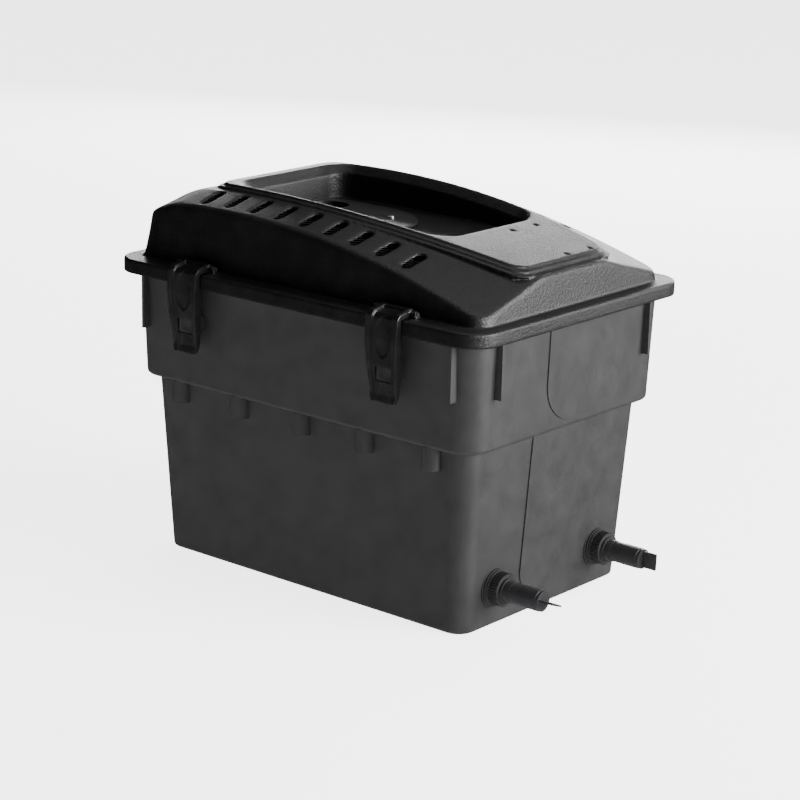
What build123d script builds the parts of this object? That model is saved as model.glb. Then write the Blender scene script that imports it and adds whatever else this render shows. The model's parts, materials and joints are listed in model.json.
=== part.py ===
from build123d import *
import os

# Garden pond filter box: a drafted tank with a stepped wall, a vented arched lid held by four
# swinging clips, and two plugged hose tails low on the right-hand end.
# Millimetres. X runs along the tank, the hose tails face +X, -Y is the front and Z is up.
# The origin is under the middle of the lid rim, at the level of the tank's base.

# Lid rim and skirt
RIM_LENGTH = 560.0
RIM_WIDTH = 398.0
RIM_RADIUS = 36.5
RIM_TOP = 366.0
RIM_THICKNESS = 3.5
RIM_EDGE_FILLET = 2.0
SKIRT_BOTTOM = 349.0
SKIRT_WALL = 3.2

# Tank
BASE_LENGTH = 468.0
BASE_WIDTH = 306.0
BASE_RADIUS = 22.0
WAIST_LENGTH = 492.0
WAIST_WIDTH = 330.0
WAIST_RADIUS = 25.0
SHOULDER_Z = 221.8
SHOULDER_LENGTH = 519.0
SHOULDER_WIDTH = 357.0
MOUTH_LENGTH = 527.0
MOUTH_WIDTH = 365.0
UPPER_RADIUS = 32.6
TANK_WALL = 4.0
TANK_TOP = 358.5
TANK_LIP_BOTTOM = 350.5
TANK_LIP_WALL = 3.0
TANK_RIM_GAP = 1.3
SHOULDER_FILLET = 5.0
BASE_FILLET = 4.0

# Half-round wells under the shoulder, which take the media tray's pegs
WELL_PITCH = 97.5
WELL_COUNT = 5
WELL_Y = 165.5
WELL_OUTER_RADIUS = 12.0
WELL_INNER_RADIUS = 8.2
WELL_BOTTOM = 195.0

# Plates that stiffen the rim near its corners
RIB_X = 236.0
RIB_Y = 140.0
RIB_THICKNESS = 4.0
RIB_BOTTOM = 283.0
RIB_REACH = 11.5

# Raised panels on the right-hand end wall
PANEL_RAISE = 1.5
UPPER_PANEL_CENTRE_Y = 5.5
UPPER_PANEL_WIDTH = 102.0
UPPER_PANEL_BOTTOM = 231.5
LOWER_PANEL_CORNERS = ((-52.5, 28.0), (36.0, 28.0), (54.0, SHOULDER_Z), (-47.5, SHOULDER_Z))
LOWER_PANEL_RADIUS = 26.0

# Lid body
LID_BODY_LENGTH = 528.0
LID_BODY_WIDTH = 348.0
LID_BODY_RADIUS = 24.0
LID_WALL = 3.2
LID_DRAFT = 0.11
LID_BLOCK_TOP = 480.0
ROOF_CREST_X = -120.0
ROOF_CREST_Z = 435.0
ROOF_ARCH_RADIUS = 1230.0
ROOF_SLOPE = 0.27
# Slope, crest height and arch radius of the roof and of the two facets that round its eaves
ROOF_FACETS = ((ROOF_SLOPE, ROOF_CREST_Z, ROOF_ARCH_RADIUS), (0.78, 428.8, 1303.0), (1.8, 419.5, 1478.0))
DECK_CREST_Z = 456.0
DECK_ARCH_RADIUS = 1700.0
DECK_LEFT = -207.0
DECK_RIGHT = 254.0
DECK_HALF_WIDTH = 118.0
DECK_SIDE_RADIUS = 1500.0
DECK_SIDE_CENTRE_X = -50.0
DECK_CORNER_RADIUS = 22.0
DECK_STEP = 3.2
DECK_TIER_INSET = 5.0

# Tray sunk into the deck
TRAY_LEFT = -180.0
TRAY_RIGHT = 144.0
TRAY_HALF_WIDTH = 104.0
TRAY_CORNER_RADIUS = 34.0
TRAY_FLOOR_Z = 414.0
TRAY_BEVEL = 11.0

# Air vents along both sides of the deck
VENT_COUNT = 9
VENT_PITCH = 38.6
VENT_FIRST_X = -171.0
VENT_Y = 137.0
VENT_LENGTH = 38.0
VENT_WIDTH = 15.0
VENT_DEPTH = 2.2
VENT_HOLE_LENGTH = 11.5
VENT_HOLE_WIDTH = 9.5
VENT_HOLE_SHIFT = 10.5

# Four dimples in the flat pad at the right of the deck
DIMPLE_XS = (160.0, 238.0)
DIMPLE_YS = (14.0, 58.0)
DIMPLE_RADIUS = 3.5
DIMPLE_DEPTH = 2.0

# Inlet cover plate in the tray
COVER_CENTRE_X = -75.0
COVER_HALF_LENGTH = 90.0
COVER_HALF_WIDTH = 67.0
COVER_HEEL_X = -122.0
COVER_HEEL_LENGTH = 88.0
COVER_HEEL_RADIUS = 30.0
COVER_THICKNESS = 3.0
COVER_GASKET_THICKNESS = 1.0
INLET_X = -134.0
INLET_LENGTH = 48.0
INLET_WIDTH = 100.0
INLET_RADIUS = 18.0
SCREW_X = -29.0
SCREW_Y = 22.0
SCREW_SHANK_RADIUS = 2.0
SCREW_HEAD_RADIUS = 4.2
SCREW_HEAD_HEIGHT = 2.4
SCREW_LENGTH = 14.0
SCREW_BOSS_RADIUS = 5.0

# Seal between lid and tank
SEAL_OUTER_LENGTH = 546.0
SEAL_OUTER_WIDTH = 384.0
SEAL_WIDTH = 8.0

# Clips and the catches behind them
CLIP_X = 153.0
CLIP_AXIS_Y = 182.0
CLIP_AXIS_Z = 372.0
CLIP_HALF_WIDTH = 22.75
CLIP_FOOT_HALF_WIDTH = 18.0
CLIP_BARREL_RADIUS = 5.0
CLIP_BORE_RADIUS = 2.06
CLIP_RAIL = 4.6
CLIP_SIDE = 3.0
CLIP_RECESS = 3.2
CLIP_WEB_BACK = 6.2
CLIP_CHANNEL_FRONT = 197.0
CLIP_LIP_CLEARANCE = 0.9
CLIP_WINDOW_WIDTH = 24.0
CLIP_WINDOW_BOTTOM = 294.0
CLIP_WINDOW_TOP = 310.0
CLIP_BOTTOM = 269.0
PIN_RADIUS = 2.0
LUG_WIDTH = 8.0
LUG_GAP = 0.6
CATCH_HALF_WIDTH = 10.0
CATCH_FRONT = 196.4
CATCH_BOTTOM = 296.0
CATCH_TOP = 312.0

# Hose tails
PORT_Y = 98.0
PORT_Z = 48.0
PORT_SEAT_RADIUS = 24.0
PORT_SEAT_OUT = 238.0
PORT_SEAT_IN = 231.0
PORT_BORE = 15.2
SHANK_RADIUS = 15.0
INNER_FLANGE_RADIUS = 20.5
INNER_FLANGE_THICKNESS = 3.5
GASKET_THICKNESS = 2.5
OUTER_GASKET_RADIUS = 22.2
WASHER_RADIUS = 21.0
WASHER_THICKNESS = 2.6
NUT_RADIUS = 19.6
NUT_LENGTH = 11.5
NUT_FLUTES = 40
NUT_FLUTE_RADIUS = 0.9
THREAD_END = 258.0
TAIL_RADIUS = 12.5
TAIL_END = 303.0
TAIL_BORE = 9.6
SPIGOT_START = 213.0
SPIGOT_RADIUS = 12.0
PLUG_RADIUS = 9.55
PLUG_LENGTH = 16.0
PLUG_HEAD_RADIUS = 12.0
PLUG_HEAD_THICKNESS = 3.5
PLUG_TAB_WIDTH = 20.0
PLUG_TAB_THICKNESS = 2.0
PLUG_TAB_LENGTH = 18.5
RING_GROOVE_RADIUS = 8.2
RING_WIDTH = 2.4
RING_FROM_END = 4.0
PLUG_TURNS = {"front": -21.0, "back": 88.0}

# Strainers over the inner ends of the hose tails
STRAINER_RADIUS = 17.0
STRAINER_WALL = 2.4
STRAINER_START = 181.0
STRAINER_END = 224.0
STRAINER_SLOTS = 12
STRAINER_SLOT_WIDTH = 3.4

# Media inside the tank
TRAY_PLATE_LENGTH = 504.0
TRAY_PLATE_WIDTH = 342.0
TRAY_PLATE_THICKNESS = 5.0
TRAY_PEG_RADIUS = 7.6
MAT_LENGTH = 498.0
MAT_WIDTH = 336.0
MAT_RADIUS = 26.0
COARSE_MAT_THICKNESS = 40.0
FINE_MAT_THICKNESS = 30.0
GRID_LENGTH = 458.0
GRID_WIDTH = 296.0
GRID_Z = 84.0
GRID_THICKNESS = 6.0
LEG_RADIUS = 8.0
LEG_X = 150.0
LEG_Y = 105.0
BLOCK_COUNT = 4
BLOCK_LENGTH = 110.0
BLOCK_GAP = 3.0
BLOCK_WIDTH = 286.0
BLOCK_TOP = 216.0
SLOT_LENGTH = 62.0
SLOT_WIDTH = 9.0

SIDES = {"front": -1, "back": 1}
ENDS = {"left": -1, "right": 1}


def tapered_box(low, low_z, low_radius, high, high_z, high_radius, bottom_fillet=0.0):
    """Drafted block between two rounded rectangles."""
    with BuildPart() as box:
        with BuildSketch(Plane.XY.offset(low_z)):
            RectangleRounded(*low, low_radius)
        with BuildSketch(Plane.XY.offset(high_z)):
            RectangleRounded(*high, high_radius)
        loft(ruled=True)
        if bottom_fillet:
            fillet(box.faces().sort_by(Axis.Z)[0].edges(), bottom_fillet)
    return box.part


def waist_size(z, inset):
    """Length and width of the lower wall at a height, less an inset on every side."""
    share = z / SHOULDER_Z
    length = BASE_LENGTH + (WAIST_LENGTH - BASE_LENGTH) * share
    width = BASE_WIDTH + (WAIST_WIDTH - BASE_WIDTH) * share
    return length - 2 * inset, width - 2 * inset


def upper_wall_y(z):
    """Half width of the upper wall's outside at a height."""
    share = (z - SHOULDER_Z) / (TANK_TOP - SHOULDER_Z)
    return (SHOULDER_WIDTH + (MOUTH_WIDTH - SHOULDER_WIDTH) * share) / 2


def arch_height(x, crest_x, crest_z, radius):
    """Height of an arch at x."""
    run = x - crest_x
    return crest_z - radius + (radius * radius - run * run) ** 0.5


def above_arch(crest_x, crest_z, radius, plane):
    """Sketch, in an XZ plane, of everything over an arch."""
    half = 340.0
    roof = 640.0
    ends = [(x, arch_height(x, crest_x, crest_z, radius)) for x in (-half, 0.0, half)]
    with BuildSketch(plane) as region:
        with BuildLine():
            ThreePointArc(*ends)
            Polyline(ends[2], (half, roof), (-half, roof), ends[0])
        make_face()
    return region.sketch


def bowed_outline(left, right, half_width, corner_radius, z):
    """Plan outline with long sides that bow outwards, on the plane at height z."""
    xs = (left, DECK_SIDE_CENTRE_X, right)
    sides = []
    for x in xs:
        run = x - DECK_SIDE_CENTRE_X
        sides.append(half_width - run * run / (2 * DECK_SIDE_RADIUS))
    with BuildSketch(Plane.XY.offset(z)) as outline:
        with BuildLine():
            ThreePointArc(*[(x, -y) for x, y in zip(xs, sides)])
            ThreePointArc(*[(x, y) for x, y in zip(xs, sides)])
            Line((left, -sides[0]), (left, sides[0]))
            Line((right, -sides[2]), (right, sides[2]))
        make_face()
        fillet(outline.vertices(), corner_radius)
    return outline.sketch


def roof_cut(drop):
    """Everything over the lid's roof, lowered by drop: two slopes and the deck's arch."""
    with BuildPart() as cut:
        for sign in SIDES.values():
            plane = Plane.XZ.offset(-sign * LID_BODY_WIDTH / 2)
            for slope, crest_z, radius in ROOF_FACETS:
                sink = drop * (1 + slope * slope) ** 0.5
                region = above_arch(ROOF_CREST_X, crest_z - sink, radius, plane)
                extrude(region, amount=2 * RIM_WIDTH, dir=(0, -sign, slope))
        deck_arch = above_arch(ROOF_CREST_X, DECK_CREST_Z - DECK_STEP * 2 - drop, DECK_ARCH_RADIUS, Plane.XZ)
        extrude(deck_arch, amount=RIM_WIDTH, both=True)
    return cut.part


def deck_tier(inset, drop):
    """One tier of the raised deck."""
    outline = bowed_outline(DECK_LEFT + inset, DECK_RIGHT - inset, DECK_HALF_WIDTH - inset,
                            DECK_CORNER_RADIUS, TRAY_FLOOR_Z - 2 * LID_WALL)
    over = above_arch(ROOF_CREST_X, DECK_CREST_Z - drop, DECK_ARCH_RADIUS, Plane.XZ)
    with BuildPart() as tier:
        extrude(outline, amount=LID_BLOCK_TOP - TRAY_FLOOR_Z)
        extrude(over, amount=RIM_WIDTH, both=True, mode=Mode.SUBTRACT)
    return tier.part


def tray_space(grow, floor_z):
    """The space of the tray in the deck, grown by a wall thickness."""
    half = TRAY_HALF_WIDTH - TRAY_BEVEL + grow
    inner = bowed_outline(TRAY_LEFT + TRAY_BEVEL - grow, TRAY_RIGHT - TRAY_BEVEL + grow, half,
                          TRAY_CORNER_RADIUS - TRAY_BEVEL + grow, floor_z)
    with BuildPart() as space:
        extrude(inner, amount=LID_BLOCK_TOP - floor_z)
    return space.part


def tray_bevel():
    """Cut for the tray's bevelled mouth: drafted at 45 degrees, so that it follows the deck's arch."""
    xs = (TRAY_LEFT, DECK_SIDE_CENTRE_X, TRAY_RIGHT)
    ys = []
    drops = []
    for x in xs:
        run = x - DECK_SIDE_CENTRE_X
        drop = DECK_CREST_Z - arch_height(x, ROOF_CREST_X, DECK_CREST_Z, DECK_ARCH_RADIUS)
        drops.append(drop)
        ys.append(TRAY_HALF_WIDTH - run * run / (2 * DECK_SIDE_RADIUS) + drop)
    left = TRAY_LEFT - drops[0]
    right = TRAY_RIGHT + drops[2]
    depth = drops[2] + TRAY_BEVEL + 1.0
    points = list(zip((left, DECK_SIDE_CENTRE_X, right), ys))
    with BuildPart() as cut:
        with BuildSketch(Plane.XY.offset(DECK_CREST_Z)) as mouth:
            with BuildLine():
                ThreePointArc(*[(x, -y) for x, y in points])
                ThreePointArc(*points)
                Line((left, -ys[0]), (left, ys[0]))
                Line((right, -ys[2]), (right, ys[2]))
            make_face()
            fillet(mouth.vertices().group_by(Axis.X)[0], TRAY_CORNER_RADIUS + 2)
            fillet(mouth.vertices().group_by(Axis.X)[-1], TRAY_CORNER_RADIUS + drops[2])
        extrude(amount=-depth, taper=45)
    return cut.part


def lid_shell_space():
    """Hollow under the lid: the lid body shrunk by the wall, less the room the tray takes."""
    top_shrink = 2 * LID_DRAFT * (LID_BLOCK_TOP - RIM_TOP) + 2 * LID_WALL
    low = (LID_BODY_LENGTH - 2 * LID_WALL, LID_BODY_WIDTH - 2 * LID_WALL)
    high = (LID_BODY_LENGTH - top_shrink, LID_BODY_WIDTH - top_shrink)
    block = tapered_box(low, RIM_TOP - RIM_THICKNESS, LID_BODY_RADIUS - LID_WALL,
                        high, LID_BLOCK_TOP, LID_BODY_RADIUS - LID_WALL)
    band = bowed_outline(TRAY_LEFT - LID_WALL, TRAY_RIGHT + LID_WALL, TRAY_HALF_WIDTH + LID_WALL,
                         TRAY_CORNER_RADIUS + LID_WALL, TRAY_FLOOR_Z)
    below_band = above_arch(ROOF_CREST_X, DECK_CREST_Z - TRAY_BEVEL - 2 * LID_WALL,
                            DECK_ARCH_RADIUS, Plane.XZ)
    with BuildPart() as rim_band:
        extrude(band, amount=LID_BLOCK_TOP - TRAY_FLOOR_Z)
        extrude(below_band, amount=RIM_WIDTH, both=True, mode=Mode.INTERSECT)
    with BuildPart() as space:
        add(block)
        add(roof_cut(LID_WALL), mode=Mode.SUBTRACT)
        add(tray_space(LID_WALL, TRAY_FLOOR_Z - LID_WALL), mode=Mode.SUBTRACT)
        add(rim_band.part, mode=Mode.SUBTRACT)
    return space.part


def clip_places():
    """X of each clip and the side it stands on."""
    return [(end * CLIP_X, side) for side in SIDES.values() for end in ENDS.values()]


def screw_places():
    """Centres of the two cover screws."""
    return [(SCREW_X, -SCREW_Y), (SCREW_X, SCREW_Y)]


def lug_bars():
    """Pairs of round lugs on the rim that carry the clips' pins."""
    inner = CLIP_HALF_WIDTH + LUG_GAP
    with BuildPart() as lugs:
        for x, sign in clip_places():
            for step in (-1, 1):
                with BuildSketch(Plane.YZ.offset(x + step * (inner + LUG_WIDTH / 2))):
                    with Locations((sign * CLIP_AXIS_Y, CLIP_AXIS_Z)):
                        Circle(CLIP_BARREL_RADIUS)
                    with Locations((sign * CLIP_AXIS_Y, CLIP_AXIS_Z - CLIP_BARREL_RADIUS)):
                        Rectangle(2 * CLIP_BARREL_RADIUS, 2 * CLIP_BARREL_RADIUS)
                extrude(amount=LUG_WIDTH / 2, both=True)
        with BuildSketch(Plane.XY.offset(0)):
            Rectangle(RIM_LENGTH, RIM_WIDTH)
        extrude(amount=RIM_TOP - RIM_THICKNESS, mode=Mode.SUBTRACT)
    return lugs.part


def vent_cuts():
    """Dished vents and their holes, square to the sloping strips beside the deck."""
    with BuildPart() as cuts:
        for index in range(VENT_COUNT):
            x = VENT_FIRST_X + index * VENT_PITCH
            for sign in SIDES.values():
                eave = arch_height(x, ROOF_CREST_X, ROOF_CREST_Z, ROOF_ARCH_RADIUS)
                z = eave + ROOF_SLOPE * (LID_BODY_WIDTH / 2 - VENT_Y)
                lean = (x - ROOF_CREST_X) / ROOF_ARCH_RADIUS
                normal = (lean, sign * ROOF_SLOPE, 1)
                face = Plane(origin=(x, sign * VENT_Y, z), x_dir=(1, 0, -lean), z_dir=normal)
                with BuildSketch(face.offset(-VENT_DEPTH)):
                    SlotOverall(VENT_LENGTH, VENT_WIDTH, rotation=90)
                extrude(amount=4 * VENT_DEPTH)
                with BuildSketch(face.offset(-4 * LID_WALL)):
                    with Locations((0, -sign * VENT_HOLE_SHIFT)):
                        SlotOverall(VENT_HOLE_LENGTH, VENT_HOLE_WIDTH, rotation=90)
                extrude(amount=5 * LID_WALL)
    return cuts.part


def dimple_cuts():
    """Small round dimples in the flat pad of the deck."""
    with BuildPart() as cuts:
        for x in DIMPLE_XS:
            height = arch_height(x, ROOF_CREST_X, DECK_CREST_Z, DECK_ARCH_RADIUS)
            with BuildSketch(Plane.XY.offset(height - DIMPLE_DEPTH)):
                with Locations(*[(x, y) for y in DIMPLE_YS]):
                    Circle(DIMPLE_RADIUS)
            extrude(amount=4 * DIMPLE_DEPTH)
    return cuts.part


def make_lid():
    """Vented lid: skirt, rim, drafted body, stepped deck with its tray, clip lugs and vents."""
    shrink = 2 * LID_DRAFT * (LID_BLOCK_TOP - RIM_TOP)
    high = (LID_BODY_LENGTH - shrink, LID_BODY_WIDTH - shrink)
    block = tapered_box((LID_BODY_LENGTH, LID_BODY_WIDTH), RIM_TOP - RIM_THICKNESS, LID_BODY_RADIUS,
                        high, LID_BLOCK_TOP, LID_BODY_RADIUS)
    with BuildPart() as body:
        add(block)
        add(roof_cut(0.0), mode=Mode.SUBTRACT)
    tray = tray_space(0.0, TRAY_FLOOR_Z)
    with BuildPart() as deck:
        add(deck_tier(0.0, 2 * DECK_STEP))
        add(deck_tier(DECK_TIER_INSET, DECK_STEP))
        add(deck_tier(2 * DECK_TIER_INSET, 0.0))
        add(tray, mode=Mode.SUBTRACT)
        add(tray_bevel(), mode=Mode.SUBTRACT)
    with BuildPart() as lid:
        with BuildSketch(Plane.XY.offset(SKIRT_BOTTOM)):
            RectangleRounded(RIM_LENGTH, RIM_WIDTH, RIM_RADIUS)
        extrude(amount=RIM_TOP - SKIRT_BOTTOM)
        fillet(lid.faces().sort_by(Axis.Z)[-1].edges(), RIM_EDGE_FILLET)
        with BuildSketch(Plane.XY.offset(SKIRT_BOTTOM)):
            RectangleRounded(RIM_LENGTH - 2 * SKIRT_WALL, RIM_WIDTH - 2 * SKIRT_WALL, RIM_RADIUS - SKIRT_WALL)
        extrude(amount=RIM_TOP - RIM_THICKNESS - SKIRT_BOTTOM, mode=Mode.SUBTRACT)
        add(body.part)
        add(deck.part)
        add(tray, mode=Mode.SUBTRACT)
        add(tray_bevel(), mode=Mode.SUBTRACT)
        add(lid_shell_space(), mode=Mode.SUBTRACT)
        add(lug_bars())
        for x, sign in clip_places():
            with BuildSketch(Plane.YZ.offset(x)):
                with Locations((sign * CLIP_AXIS_Y, CLIP_AXIS_Z)):
                    Circle(PIN_RADIUS)
            extrude(amount=RIM_LENGTH / 2, both=True, mode=Mode.SUBTRACT)
        add(vent_cuts(), mode=Mode.SUBTRACT)
        add(dimple_cuts(), mode=Mode.SUBTRACT)
        with BuildSketch(Plane.XY.offset(TRAY_FLOOR_Z - 2 * LID_WALL)):
            with Locations((INLET_X, 0)):
                RectangleRounded(INLET_LENGTH, INLET_WIDTH, INLET_RADIUS)
        extrude(amount=3 * LID_WALL, mode=Mode.SUBTRACT)
        with BuildSketch(Plane.XY.offset(TRAY_FLOOR_Z - LID_WALL)):
            with Locations(*screw_places()):
                Circle(SCREW_BOSS_RADIUS)
        extrude(amount=LID_WALL - SCREW_LENGTH)
        with BuildSketch(Plane.XY.offset(TRAY_FLOOR_Z)):
            with Locations(*screw_places()):
                Circle(SCREW_SHANK_RADIUS)
        extrude(amount=-SCREW_LENGTH, mode=Mode.SUBTRACT)
    return lid.part


def wall_panels():
    """Two raised panels on the right-hand end wall, each following its drafted wall."""
    grow = 2 * PANEL_RAISE
    upper = tapered_box((SHOULDER_LENGTH + grow, SHOULDER_WIDTH), SHOULDER_Z, UPPER_RADIUS,
                        (MOUTH_LENGTH + grow, MOUTH_WIDTH), TANK_TOP, UPPER_RADIUS)
    lower = tapered_box((BASE_LENGTH + grow, BASE_WIDTH), 0, BASE_RADIUS,
                        (WAIST_LENGTH + grow, WAIST_WIDTH), SHOULDER_Z, WAIST_RADIUS)
    upper_mid = (TANK_TOP + UPPER_PANEL_BOTTOM) / 2
    face = Plane.YZ.offset(BASE_LENGTH / 2 - TANK_WALL / 2)
    with BuildPart() as upper_panel:
        with BuildSketch(face) as outline:
            with Locations((UPPER_PANEL_CENTRE_Y, upper_mid)):
                Rectangle(UPPER_PANEL_WIDTH, TANK_TOP - UPPER_PANEL_BOTTOM)
            fillet(outline.vertices().group_by(Axis.Y)[0], UPPER_PANEL_WIDTH / 2 - 1)
        extrude(amount=RIM_LENGTH / 2 - BASE_LENGTH / 2)
        add(upper, mode=Mode.INTERSECT)
    with BuildPart() as lower_panel:
        with BuildSketch(face) as outline:
            with BuildLine():
                Polyline(*LOWER_PANEL_CORNERS, close=True)
            make_face()
            fillet(outline.vertices().group_by(Axis.Y)[0], LOWER_PANEL_RADIUS)
        extrude(amount=RIM_LENGTH / 2 - BASE_LENGTH / 2)
        add(lower, mode=Mode.INTERSECT)
    return upper_panel.part, lower_panel.part


def port_places():
    """Y of each hose tail by name."""
    return {name: sign * PORT_Y for name, sign in SIDES.items()}


def make_tank():
    """One moulding: stepped drafted walls, rim, peg wells, stiffening plates, catches and hose seats."""
    lower = tapered_box((BASE_LENGTH, BASE_WIDTH), 0, BASE_RADIUS,
                        (WAIST_LENGTH, WAIST_WIDTH), SHOULDER_Z + 1, WAIST_RADIUS, BASE_FILLET)
    upper = tapered_box((SHOULDER_LENGTH, SHOULDER_WIDTH), SHOULDER_Z, UPPER_RADIUS,
                        (MOUTH_LENGTH, MOUTH_WIDTH), TANK_TOP, UPPER_RADIUS, SHOULDER_FILLET)
    floor_size = waist_size(TANK_WALL, TANK_WALL)
    ledge_z = SHOULDER_Z + TANK_WALL
    ledge_size = waist_size(SHOULDER_Z, TANK_WALL)
    lower_space = tapered_box(floor_size, TANK_WALL, BASE_RADIUS - TANK_WALL,
                              ledge_size, ledge_z + 1, WAIST_RADIUS - TANK_WALL, BASE_FILLET)
    shoulder_size = (SHOULDER_LENGTH - 2 * TANK_WALL, SHOULDER_WIDTH - 2 * TANK_WALL)
    mouth_size = (MOUTH_LENGTH - 2 * TANK_WALL, MOUTH_WIDTH - 2 * TANK_WALL)
    upper_space = tapered_box(shoulder_size, ledge_z, UPPER_RADIUS - TANK_WALL,
                              mouth_size, TANK_TOP + 1, UPPER_RADIUS - TANK_WALL)
    rim = (RIM_LENGTH - 2 * (SKIRT_WALL + TANK_RIM_GAP), RIM_WIDTH - 2 * (SKIRT_WALL + TANK_RIM_GAP))
    rim_radius = RIM_RADIUS - SKIRT_WALL - TANK_RIM_GAP
    upper_panel, lower_panel = wall_panels()
    with BuildPart() as tank:
        add(lower)
        add(upper)
        with BuildSketch(Plane.XY.offset(TANK_LIP_BOTTOM)):
            RectangleRounded(*rim, rim_radius)
            RectangleRounded(rim[0] - 2 * TANK_LIP_WALL, rim[1] - 2 * TANK_LIP_WALL,
                             rim_radius - TANK_LIP_WALL, mode=Mode.SUBTRACT)
        extrude(amount=TANK_TOP - TANK_LIP_BOTTOM)
        with BuildSketch(Plane.XY.offset(TANK_TOP - TANK_LIP_WALL)):
            RectangleRounded(*rim, rim_radius)
        extrude(amount=TANK_LIP_WALL)
        for sign in SIDES.values():
            with BuildSketch(Plane.XY.offset(WELL_BOTTOM)):
                with Locations((0, sign * WELL_Y)):
                    with GridLocations(WELL_PITCH, 1, WELL_COUNT, 1):
                        Circle(WELL_OUTER_RADIUS)
            extrude(amount=SHOULDER_Z - WELL_BOTTOM + 1)
        add(upper_panel)
        add(lower_panel)
        rib_z = (RIB_BOTTOM + TANK_TOP - 1) / 2
        rib_height = TANK_TOP - 1 - RIB_BOTTOM
        wall_y = upper_wall_y(RIB_BOTTOM) - TANK_WALL / 2
        wall_x = wall_y + (SHOULDER_LENGTH - SHOULDER_WIDTH) / 2
        with Locations(*[(ex * RIB_X, sy * (wall_y + RIB_REACH / 2), rib_z)
                         for ex in ENDS.values() for sy in SIDES.values()]):
            Box(RIB_THICKNESS, RIB_REACH, rib_height)
        with Locations(*[(ex * (wall_x + RIB_REACH / 2), sy * RIB_Y, rib_z)
                         for ex in ENDS.values() for sy in SIDES.values()]):
            Box(RIB_REACH, RIB_THICKNESS, rib_height)
        add(catches())
        add(lower_space, mode=Mode.SUBTRACT)
        add(upper_space, mode=Mode.SUBTRACT)
        for sign in SIDES.values():
            with BuildSketch(Plane.XY.offset(WELL_BOTTOM + TANK_WALL)):
                with Locations((0, sign * WELL_Y)):
                    with GridLocations(WELL_PITCH, 1, WELL_COUNT, 1):
                        Circle(WELL_INNER_RADIUS)
            extrude(amount=ledge_z + 1 - WELL_BOTTOM - TANK_WALL, mode=Mode.SUBTRACT)
        with BuildSketch(Plane.YZ.offset(PORT_SEAT_IN)):
            with Locations(*[(y, PORT_Z) for y in port_places().values()]):
                Circle(PORT_SEAT_RADIUS)
        extrude(amount=PORT_SEAT_OUT - PORT_SEAT_IN)
        with BuildSketch(Plane.YZ.offset(SPIGOT_START)):
            with Locations(*[(y, PORT_Z) for y in port_places().values()]):
                Circle(PORT_BORE)
        extrude(amount=TAIL_END - SPIGOT_START, mode=Mode.SUBTRACT)
    return tank.part


def catches():
    """Catch blocks that stand behind the clips' windows."""
    with BuildPart() as blocks:
        for x, sign in clip_places():
            depth = CATCH_FRONT - upper_wall_y(CATCH_BOTTOM) + TANK_WALL / 2
            mid = (x, sign * (CATCH_FRONT - depth / 2), (CATCH_BOTTOM + CATCH_TOP) / 2)
            with Locations(mid):
                Box(2 * CATCH_HALF_WIDTH, depth, CATCH_TOP - CATCH_BOTTOM)
    return blocks.part


def ring(plane, outer, inner, length):
    """Plain ring with its axis along the plane's normal."""
    with BuildPart() as part:
        with BuildSketch(plane):
            Circle(outer)
            Circle(inner, mode=Mode.SUBTRACT)
        extrude(amount=length)
    return part.part


def port_plane(y, x):
    """Plane square to a hose tail's axis."""
    return Plane(origin=(x, y, PORT_Z), x_dir=(0, 1, 0), z_dir=(1, 0, 0))


def make_tail(y):
    """Hose tail: inner spigot, flange, threaded shank and a stepped tail."""
    start = PORT_SEAT_IN - GASKET_THICKNESS - INNER_FLANGE_THICKNESS
    steps = [(SPIGOT_START, start, SPIGOT_RADIUS),
             (start, start + INNER_FLANGE_THICKNESS, INNER_FLANGE_RADIUS),
             (start + INNER_FLANGE_THICKNESS, THREAD_END, SHANK_RADIUS),
             (THREAD_END, THREAD_END + 8, TAIL_RADIUS + 0.4),
             (THREAD_END + 8, THREAD_END + 22, TAIL_RADIUS - 0.3),
             (THREAD_END + 22, TAIL_END, TAIL_RADIUS)]
    with BuildPart() as tail:
        for low, high, radius in steps:
            with BuildSketch(port_plane(y, low)):
                Circle(radius)
            extrude(amount=high - low)
        fillet(tail.faces().sort_by(Axis.X)[-1].edges(), 1.0)
        with BuildSketch(port_plane(y, SPIGOT_START)):
            Circle(TAIL_BORE)
        extrude(amount=TAIL_END - SPIGOT_START, mode=Mode.SUBTRACT)
    return tail.part


def make_nut(y):
    """Knurled lock nut."""
    start = PORT_SEAT_OUT + GASKET_THICKNESS + WASHER_THICKNESS
    with BuildPart() as nut:
        with BuildSketch(port_plane(y, start)):
            Circle(NUT_RADIUS)
            Circle(SHANK_RADIUS, mode=Mode.SUBTRACT)
            with PolarLocations(NUT_RADIUS, NUT_FLUTES):
                Circle(NUT_FLUTE_RADIUS, mode=Mode.SUBTRACT)
        extrude(amount=NUT_LENGTH)
    return nut.part


def make_plug(y, turn):
    """Push-in plug: grooved shank, round head and a flat finger tab."""
    start = TAIL_END - PLUG_LENGTH
    with BuildPart() as plug:
        with BuildSketch(port_plane(y, start)):
            Circle(PLUG_RADIUS)
        extrude(amount=PLUG_LENGTH)
        with BuildSketch(port_plane(y, start + RING_FROM_END)):
            Circle(PLUG_RADIUS + 1)
            Circle(RING_GROOVE_RADIUS, mode=Mode.SUBTRACT)
        extrude(amount=RING_WIDTH, mode=Mode.SUBTRACT)
        with BuildSketch(port_plane(y, TAIL_END)):
            Circle(PLUG_HEAD_RADIUS)
        extrude(amount=PLUG_HEAD_THICKNESS)
        with BuildSketch(port_plane(y, TAIL_END)):
            Rectangle(PLUG_TAB_WIDTH, PLUG_TAB_THICKNESS, rotation=turn)
        extrude(amount=PLUG_HEAD_THICKNESS + PLUG_TAB_LENGTH)
    return plug.part


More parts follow.
